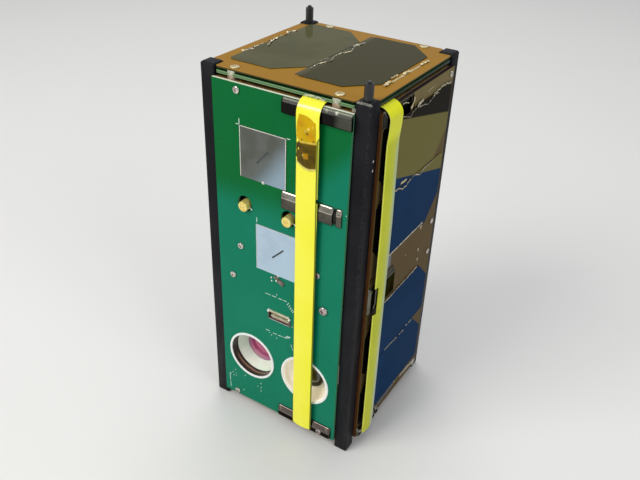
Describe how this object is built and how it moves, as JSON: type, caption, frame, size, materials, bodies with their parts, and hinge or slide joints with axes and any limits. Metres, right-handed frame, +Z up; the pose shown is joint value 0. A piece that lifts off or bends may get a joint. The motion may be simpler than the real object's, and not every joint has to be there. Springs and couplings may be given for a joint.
{
  "type": "satellite",
  "caption": "Small two-unit cube-format satellite standing on its rail feet, with corner rails, solar panels, a green antenna and camera board, and folded tape antennas.",
  "frame": {"origin": "middle of the four rail feet, on the plane the satellite stands on", "axes": "+Z up along the rails; the green board with the cameras faces -Y; the side antenna is on +X"},
  "size_m": [0.1074, 0.1074, 0.2364],
  "materials": {
    "black_anodised": "satin",
    "bare_aluminium": "satin",
    "green_mask": "semi-gloss",
    "amber_laminate": "semi-gloss",
    "brown_board": "semi-gloss",
    "green_board": "semi-gloss",
    "solar_glass": "glossy",
    "steel": "satin",
    "silvered_patch": "polished",
    "gold_brass": "polished",
    "white_ring": "matte",
    "dark_barrel": "matte",
    "cream_plastic": "matte",
    "coated_lens": "glossy",
    "yellow_tape": "satin",
    "lime_tape": "satin",
    "black_pin": "satin",
    "core": "matte"
  },
  "bodies": {
    "bus": {"antenna_board": "green_board", "aperture_rings": "white_ring", "board_bottom": "brown_board", "board_spacers": "steel", "board_top": "brown_board", "camera_cup_left": "dark_barrel", "camera_cup_right": "dark_barrel", "camera_funnel_left": "cream_plastic", "camera_funnel_right": "cream_plastic", "camera_lens_left": "coated_lens", "camera_lens_right": "coated_lens", "cells_back": "solar_glass", "cells_left": "solar_glass", "cells_right": "solar_glass", "cells_top": "solar_glass", "coax_plugs": "gold_brass", "connector_contacts": "gold_brass", "connector_shell": "steel", "core_block": "core", "panel_back": "amber_laminate", "panel_front": "green_mask", "panel_left": "amber_laminate", "panel_right": "amber_laminate", "patch_lower": "silvered_patch", "patch_upper": "silvered_patch", "rail_front_left": "black_anodised", "rail_front_right": "black_anodised", "rail_rear_left": "black_anodised", "rail_rear_right": "black_anodised", "ribs_back": "bare_aluminium", "ribs_front": "bare_aluminium", "ribs_left": "bare_aluminium", "ribs_right": "bare_aluminium", "tape_clips_front": "steel", "tape_clips_side": "steel", "tape_root_front": "yellow_tape", "tape_root_side": "lime_tape"},
    "front_antenna": {"tape_blade_front": "yellow_tape"},
    "side_antenna": {"tape_blade_side": "lime_tape"},
    "front_plunger": {"plunger_front": "black_pin"},
    "rear_plunger": {"plunger_rear": "black_pin"}
  },
  "joints": [
    {"name": "front_antenna_fold", "type": "hinge", "parent": "bus", "child": "front_antenna", "pos_m": [0.0195, -0.0536, 0.2212], "axis": [-1, 0, 0], "range_deg": [0, 90]},
    {"name": "side_antenna_fold", "type": "hinge", "parent": "bus", "child": "side_antenna", "pos_m": [0.0536, -0.0325, 0.2212], "axis": [0, -1, 0], "range_deg": [0, 90]},
    {"name": "front_plunger_slide", "type": "slide", "parent": "bus", "child": "front_plunger", "axis": [0, 0, 1], "range_m": [-0.0094, 0], "stiffness_N_per_m": 400, "springref_m": 0.002},
    {"name": "rear_plunger_slide", "type": "slide", "parent": "bus", "child": "rear_plunger", "axis": [0, 0, 1], "range_m": [-0.0094, 0], "stiffness_N_per_m": 400, "springref_m": 0.002}
  ]
}
